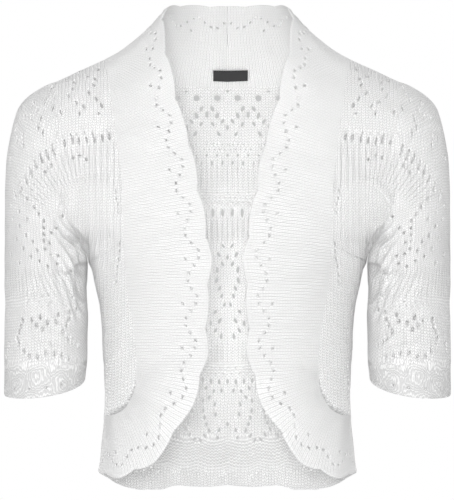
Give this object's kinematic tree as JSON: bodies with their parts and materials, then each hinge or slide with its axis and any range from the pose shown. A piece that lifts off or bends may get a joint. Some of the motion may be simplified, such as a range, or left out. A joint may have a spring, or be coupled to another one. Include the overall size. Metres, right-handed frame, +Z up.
{
  "type": "knitted lace shrug",
  "caption": "Open-fronted knitted lace shrug with short sleeves, a scalloped band that curves to the side seams and a stand-up collar.",
  "frame": {"origin": "middle of the neck, level with the top of the shoulders, where the garment hangs on its wearer", "axes": "+X to the wearer's left, +Y behind the wearer, +Z up"},
  "size_m": [0.4476, 0.2063, 0.488],
  "materials": {
    "white_knit": "matte white acrylic knit",
    "black_tape": "plain black woven tape"
  },
  "bodies": {
    "root": {"back": "white_knit", "front_left": "white_knit", "front_right": "white_knit", "band_left": "white_knit", "band_right": "white_knit", "sleeve_left_front": "white_knit", "sleeve_left_back": "white_knit", "sleeve_right_front": "white_knit", "sleeve_right_back": "white_knit", "neck_label": "black_tape"}
  },
  "joints": []
}
